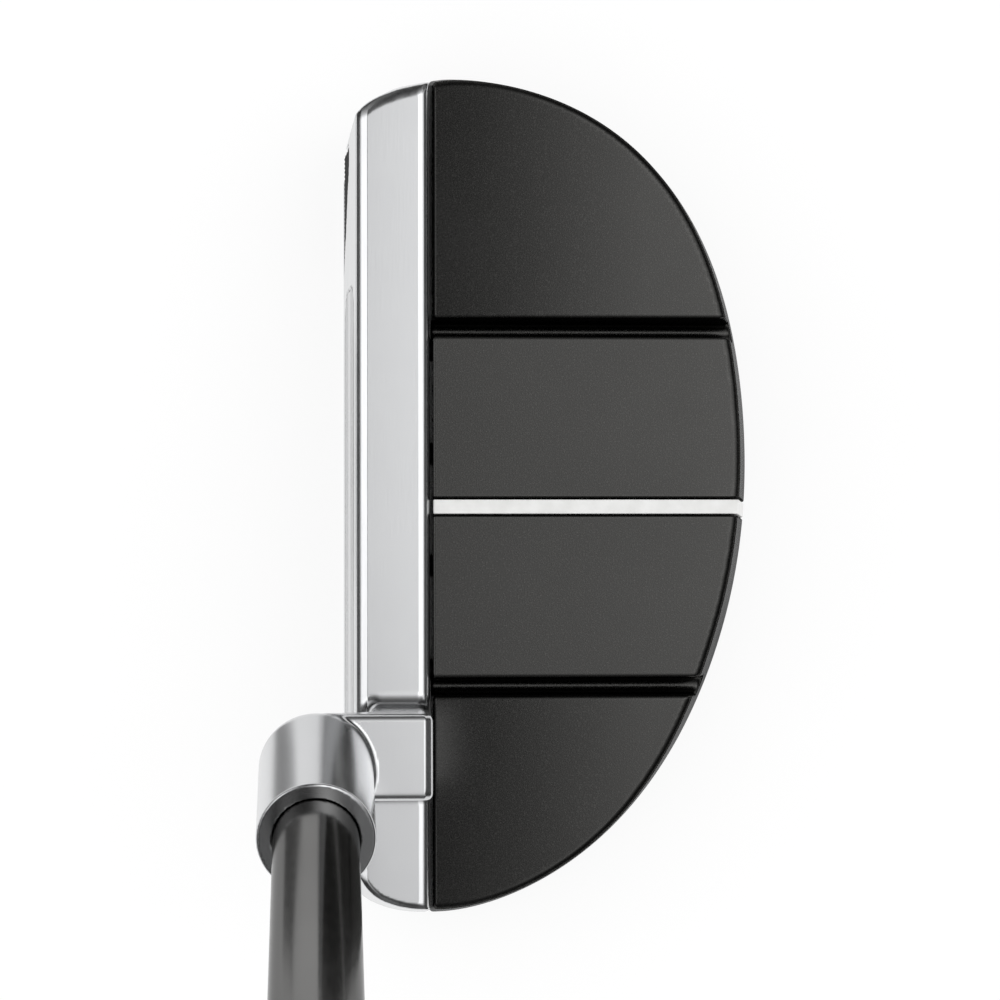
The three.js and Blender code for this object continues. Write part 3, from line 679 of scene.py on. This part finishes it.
K = 1.0
FRAME_GRID = (
    grid_line(-31.0, (-19.2, 0.26 * K), (-17.5, 0.20 * K), (-17.12, 0.055), (-16.6, 0.20 * K), (-11.6, 0.46 * K), (-8.98, 0.20 * K)),
    grid_line(-52.0, (-46.0, 0.28 * K), (-22.5, 0.26 * K), (47.0, 0.60 * K), (55.8, 0.28 * K)),
    grid_line(-0.6, (2.0, 0.36 * K), (22.4, 0.56 * K), (26.2, 0.17 * K), (59.0, 0.36 * K), (70.0, 0.22 * K)),
)
o = surface_net("putter_frame", front_frame_sdf, FRAME_GRID, None, 0.3 * K)
finish_piece(o, "steel", "frame_steel", "front_frame")
BODY_GRID = (
    grid_line(-9.8, (-8.0, 0.22 * K), (31.4, 0.42 * K)),
    grid_line(-52.0, (-23.6, 0.46 * K), (-20.2, 0.22 * K), (-1.6, 0.48 * K), (1.6, 0.2 * K), (20.2, 0.48 * K), (23.6, 0.22 * K), (55.8, 0.46 * K)),
    grid_line(-0.6, (2.0, 0.34 * K), (21.6, 0.52 * K), (24.9, 0.17 * K)),
)
o = surface_net("putter_body", rear_body_sdf, BODY_GRID, None, 0.35 * K)
finish_piece(o, "black", "black_anodised", "rear_body")
SIGHT_GRID = (
    grid_line(-9.8, (26.0, 0.3), (32.0, 0.15)),
    grid_line(-1.4, (1.4, 0.1)),
    grid_line(5.4, (22.4, 0.3), (24.7, 0.1)),
)
o = surface_net("sight_mark", sight_sdf, SIGHT_GRID, None, 0.15)
finish_piece(o, "white", "white_infill", "sight_line")
o = surface_net("strike_plate", insert_sdf, (-20.6, -28, 3.0), (-14.8, 28, 22.0), 0.17)
finish_piece(o, "insert", "insert_steel", "face_insert")
for nm, tri in (("toe", TOE_TRI), ("heel", HEEL_TRI)):
    y0, y1 = min(p[0] for p in tri) - 0.5, max(p[0] for p in tri) + 0.5
    o = surface_net(nm + "_face_inlay", inlay_sdf(tri), (-20.4, y0, 0.8), (-16.6, y1, 12.4), 0.16)
    finish_piece(o, "rubber", "elastomer", nm + "_inlay")
    wx, wy = WEIGHTS[nm]
    o = surface_net(nm + "_sole_weight", weight_sdf(wx, wy), (wx - 7.8, wy - 7.8, -0.1), (wx + 7.8, wy + 7.8, 7.5), 0.22)
    finish_piece(o, "weight", "weight_steel", nm + "_weight")
o = surface_net("sole_plate", cover_sdf, (-5.4, -19.9, -0.4), (23.4, 19.9, 2.0), 0.24)
finish_piece(o, "cover", "cover_aluminium", "sole_cover")
for i, (cx, cy) in enumerate(COVER_SCREW):
    o = surface_net("sole_screw_%d" % (i + 1), cover_screw_sdf(cx, cy), (cx - 2.4, cy - 2.4, -0.05), (cx + 2.4, cy + 2.4, 7.7), 0.11)
    finish_piece(o, "screw", "screw_steel", "cover_screw_%d" % (i + 1))


# ------------------------------------------------------------------ shaft and grip
def on_shaft(u, v, s):
    """Point of the shaft frame, in mm, as a point of the row frame."""
    return np.stack([SHAFT_X + u, AXIS_Y0 + v * math.cos(TILT) - s * math.sin(TILT), v * math.sin(TILT) + s * math.cos(TILT)], -1)


def shaft_r(s):
    if s < 330:
        return 4.7
    if s < 640:
        return 4.7 + 2.6 * (s - 330) / 310
    return 7.3 + 0.2 * (s - 640) / (BUTT_S - 640)


def ring_grid(name, rings, mat, slot, *nodes):
    """Closed tube surface from a loop of rings; the last ring joins the first."""
    R = np.array(rings)
    n, m = R.shape[:2]
    v = R.reshape(-1, 3)
    i = np.arange(n)[:, None]; j = np.arange(m)[None, :]
    a = i * m + j; b = i * m + (j + 1) % m
    c = ((i + 1) % n) * m + (j + 1) % m; d = ((i + 1) % n) * m + j
    o = mesh_from_arrays(name, v, np.stack([a, b, c, d], -1).reshape(-1, 4))
    return finish_piece(o, mat, slot, *nodes)


ang = np.linspace(0, 2 * np.pi, 97)[:-1]


def circle(r, s):
    return on_shaft(r * np.cos(ang), r * np.sin(ang), np.full_like(ang, s))


S = [51.2, 60, 70, 90] + list(np.arange(120, 880, 20.0)) + [BUTT_S]
outer = [circle(4.35, 50.55), circle(4.6, 50.7), circle(4.7, 51.0)] + [circle(shaft_r(s), s) for s in S]
inner = [circle(shaft_r(s) - 0.55, s) for s in S[::-1]] + [circle(4.17, 50.6)]
ring_grid("shaft_tube", outer + inner, "shaft", "shaft_plate", "shaft")

# grip outline, as in the CAD: flat front, rounded pistol back
_gl = np.array([
    [0, 8.6, 8.5, 8.6], [1.2, 9.4, 9.2, 9.4], [5, 9.7, 9.5, 9.8], [40, 10.2, 9.759, 10.6], [80, 10.7, 10.056, 11.6], [120, 11.3, 10.352, 12.9],
    [155, 11.9, 10.611, 13.6], [185, 12.3, 10.833, 14.0], [210, 12.7, 11.019, 15.0], [232, 13.1, 11.181, 17.0], [248, 13.4, 11.3, 18.6],
    [258, 13.3, 11.2, 18.8], [261.6, 12.7, 10.6, 18.0], [262.6, 11.6, 9.8, 16.6]])


def grip_ring(d, n=144, sink=0.0):
    hw, front, back = [np.interp(d, _gl[:, 0], _gl[:, i]) for i in (1, 2, 3)]
    a = np.linspace(0, 2 * np.pi, n + 1)[:-1]
    c, s = np.cos(a), np.sin(a)
    p = np.where(s > 0, 3.6, 2.15)
    r = (np.abs(c) ** p + np.abs(s) ** p) ** (-1 / p)
    u = hw * r * c
    v = np.where(s > 0, np.minimum(front, front * 1.09 * r * s), back * r * s)
    # moulded pattern: fine rings round the back, rows of dimples on the flat front
    back_w = smooth01((-s - 0.12) / 0.25) * smooth01((d - 12) / 4) * smooth01((252 - d) / 4)
    band = 0.5 + 0.5 * math.cos(2 * math.pi * d / 3.0)
    fade = smooth01((math.cos(2 * math.pi * d / 48.0) + 0.75) / 0.3)
    cut = 0.32 * back_w * (band ** 3) * fade
    flat_w = smooth01((s - 0.45) / 0.2) * smooth01((d - 14) / 4) * smooth01((246 - d) / 4)
    dimple = np.maximum(0, np.cos(2 * np.pi * u / 2.6) * math.cos(2 * math.pi * d / 5.2)) ** 2
    cut = cut + 0.22 * flat_w * dimple
    k = np.hypot(u, v)
    return u * (1 - (cut + sink) / k), v * (1 - (cut + sink) / k)


d_list = [0, 0.5, 1.2, 2.5, 5] + list(np.arange(7, 258, 0.75)) + [258.0, 259.2, 260.4, 261.3, 261.6, 262.2, 262.6]
rings = []
for d in d_list:
    u, v = grip_ring(d)
    rings.append(on_shaft(u, v, np.full_like(u, GRIP_S0 + d)))
ga = np.linspace(0, 2 * np.pi, 145)[:-1]
for s in (GRIP_S0 + 262.6, 860, 800, 740, 690, 640, GRIP_S0):
    r = shaft_r(min(s, BUTT_S)) + 0.36
    rings.append(on_shaft(r * np.cos(ga), r * np.sin(ga), np.full_like(ga, s)))
ring_grid("putter_grip", rings, "grip", "grip_rubber", "grip")


def cap_mesh():
    """Domed end cap: a moulded ring groove, a vent hole and the spigot inside the grip."""
    prof = [(262.9, 1.0, 0.25), (263.6, 1.0, 0.0), (264.6, 0.995, 0.0), (265.3, 0.98, 0), (265.9, 0.95, 0), (266.35, 0.90, 0), (266.65, 0.83, 0), (266.82, 0.74, 0), (266.9, 0.62, 0), (266.7, 0.59, 0), (266.7, 0.55, 0), (266.94, 0.52, 0), (267.0, 0.36, 0)]
    a = ga
    hw0, v0 = grip_ring(262.6, 144)
    base_u, base_v = hw0 * 0.985, v0 * 0.985
    rr = []
    for d, k, sink in prof:
        rr.append(on_shaft(base_u * k, base_v * k, np.full_like(a, GRIP_S0 + d)))
    for r, d in ((1.2, 267.0), (1.2, 261.3), (7.3, 261.3), (7.45, 261.6), (7.45, 262.9)):
        rr.append(on_shaft(r * np.cos(a), r * np.sin(a), np.full_like(a, GRIP_S0 + d)))
    return rr


ring_grid("grip_end_cap", cap_mesh(), "grip", "grip_rubber", "grip_cap")

# pieces hidden inside keep their CAD shape and take a worked finish
INNER = {"insert_backing": "rubber", "toe_weight_ring": "rubber", "heel_weight_ring": "rubber", "shaft_tip_plug": "plug", "butt_plug": "plug", "grip_tape": "tape"}
INNER.update({"body_screw_%d" % i: "screw" for i in range(1, 5)})
for n, key in INNER.items():
    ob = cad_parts[n]
    ob.data.materials.clear()
    ob.data.materials.append(MAT[key])

# ------------------------------------------------------------------ stage: floor, light, camera
def plane(name, cx, cy, z, sx, sy):
    return new_object(name, [(cx - sx, cy - sy, z), (cx + sx, cy - sy, z), (cx + sx, cy + sy, z), (cx - sx, cy + sy, z)], [(0, 1, 2, 3)], False)


floor = plane("floor", 0, 0, -0.0004, 6, 6)
fm, ft, fb = material("floor_paper")
fv = coords(ft)
ft.links.new(mix_colour(ft, ramp(ft, noise(ft, fv, 0.01, 2.0), 0.3, 0.7, 0, 1), (0.175, 0.175, 0.175), (0.185, 0.185, 0.185)), fb.inputs["Base Color"])
fb.inputs["Roughness"].default_value = 0.9
fb.inputs["Specular IOR Level"].default_value = 0.1
fb.inputs["Emission Color"].default_value = (1, 1, 1, 1)
# a dark card lies out of shot beside the shaft and shows only in reflections
fp = ft.nodes.new("ShaderNodeTexCoord")
fs = ft.nodes.new("ShaderNodeSeparateXYZ")
ft.links.new(fp.outputs["Object"], fs.inputs[0])


def fmath(op, a, b=None):
    n = ft.nodes.new("ShaderNodeMath")
    n.operation = op
    for k, x in enumerate((a, b)):
        if isinstance(x, (int, float)):
            n.inputs[k].default_value = x
        elif x is not None:
            ft.links.new(x, n.inputs[k])
    return n.outputs[0]


def within(value, centre, half, soft):
    r = ft.nodes.new("ShaderNodeMapRange")
    r.interpolation_type = "SMOOTHSTEP"
    r.inputs["From Min"].default_value = half + soft
    r.inputs["From Max"].default_value = half
    ft.links.new(fmath("ABSOLUTE", fmath("SUBTRACT", value, centre)), r.inputs["Value"])
    return r.outputs["Result"]


flp = ft.nodes.new("ShaderNodeLightPath")
card = fmath("MULTIPLY", within(fs.outputs["X"], -0.063, 0.014, 0.006), within(fs.outputs["Y"], 0.008, 0.013, 0.007))
card = fmath("MULTIPLY", card, flp.outputs["Is Glossy Ray"])
keep = fmath("SUBTRACT", 1.0, fmath("MULTIPLY", card, 0.93))
ft.links.new(fmath("MULTIPLY", keep, 0.83), fb.inputs["Emission Strength"])
floor.data.materials.append(fm)

world = bpy.data.worlds.new("studio")
bpy.context.scene.world = world
world.use_nodes = True
wt = world.node_tree
wt.nodes.clear()


def wmath(op, a, b=None):
    n = wt.nodes.new("ShaderNodeMath")
    n.operation = op
    for k, x in enumerate((a, b)):
        if x is None:
            continue
        if isinstance(x, (int, float)):
            n.inputs[k].default_value = x
        else:
            wt.links.new(x, n.inputs[k])
    return n.outputs[0]


def wcurve(value, lo, hi, stops):
    """Piecewise smooth function of value, stops as (position in lo..hi, level)."""
    r = wt.nodes.new("ShaderNodeMapRange")
    r.inputs["From Min"].default_value = lo; r.inputs["From Max"].default_value = hi
    wt.links.new(value, r.inputs["Value"])
    c = wt.nodes.new("ShaderNodeValToRGB")
    c.color_ramp.interpolation = "EASE"
    e = c.color_ramp.elements
    while len(e) > 1:
        e.remove(e[-1])
    for k, (x, l) in enumerate(stops):
        el = e[0] if k == 0 else e.new((x - lo) / (hi - lo))
        el.position = (x - lo) / (hi - lo)
        el.color = (l / 4, l / 4, l / 4, 1)
    wt.links.new(r.outputs["Result"], c.inputs["Fac"])
    return wmath("MULTIPLY", c.outputs["Color"], 4.0)


# even white light for matt surfaces; long overhead softboxes with dark gaps between them in the reflections
wc = wt.nodes.new("ShaderNodeTexCoord")
ws = wt.nodes.new("ShaderNodeSeparateXYZ")
wt.links.new(wc.outputs["Generated"], ws.inputs[0])
ax = wmath("MULTIPLY", wmath("ARCTAN2", ws.outputs["X"], wmath("MAXIMUM", ws.outputs["Z"], 0.0001)), 57.29578)
ay = wmath("MULTIPLY", wmath("ARCTAN2", ws.outputs["Y"], wmath("MAXIMUM", ws.outputs["Z"], 0.0001)), 57.29578)
along = wcurve(ax, -90, 90, [(-90, 0.55), (-86, 0.5), (-80, 0.08), (-58, 0.08), (-48, 1.9), (-29, 1.9), (-22, 0.15), (-6, 0.06), (1.5, 1.12), (10, 2.4), (14, 2.4), (20, 1.10), (32, 0.75), (48, 0.45), (60, 0.10), (80, 0.08), (86, 0.5), (90, 0.55)])
across = wcurve(ay, -90, 90, [(-90, 0.5), (-85, 0.35), (-79, 0.08), (-52, 0.08), (-40, 0.14), (-32, 0.28), (-22, 0.52), (-12, 0.62), (-6, 0.68), (0, 0.98), (10, 0.97), (20, 0.80), (34, 0.38), (50, 0.16), (60, 0.09), (79, 0.08), (86, 0.4), (90, 0.5)])
lp = wt.nodes.new("ShaderNodeLightPath")
bg = wt.nodes.new("ShaderNodeBackground")
bg.inputs["Color"].default_value = (1, 1, 1, 1)
level = wt.nodes.new("ShaderNodeMix")
level.data_type = "FLOAT"
wt.links.new(lp.outputs["Is Glossy Ray"], level.inputs["Factor"])
level.inputs[2].default_value = 1.0
wt.links.new(wmath("MULTIPLY", along, across), level.inputs[3])
wt.links.new(level.outputs[0], bg.inputs["Strength"])
wo = wt.nodes.new("ShaderNodeOutputWorld")
wt.links.new(bg.outputs[0], wo.inputs["Surface"])


def softbox(name, at, to, sx, sy, power):
    l = bpy.data.lights.new(name, "AREA")
    l.shape = "RECTANGLE"; l.size = sx; l.size_y = sy; l.energy = power
    ob = bpy.data.objects.new(name, l)
    ob.location = at
    ob.rotation_mode = "QUATERNION"
    ob.rotation_quaternion = (Vector(to) - Vector(at)).to_track_quat("-Z", "Y")
    bpy.context.scene.collection.objects.link(ob)
    return ob


softbox("key_back", (1.1, 0.35, 1.5), (0, 0, 0), 1.0, 1.6, 3)

cam_d = bpy.data.cameras.new("camera")
cam = bpy.data.objects.new("camera", cam_d)
bpy.context.scene.collection.objects.link(cam)
cam_d.sensor_width = 36.0
cam_d.lens = 3217 / 1000 * 36.0
cam_d.clip_start, cam_d.clip_end = 0.01, 20
fwd = Vector((184, 108, -3217)).normalized()
right = Vector((1, 0, 0)); right = (right - fwd * right.dot(fwd)).normalized()
up = right.cross(fwd)
cam.matrix_world = Matrix.Translation(Vector((-0.0235, -0.0123, 0.4145))) @ Matrix((right, up, -fwd)).transposed().to_4x4()
bpy.context.scene.camera = cam
bpy.context.scene.view_settings.view_transform = "Standard"
bpy.context.scene.view_settings.look = "None"

# ------------------------------------------------------------------ done
bpy.context.view_layer.update()
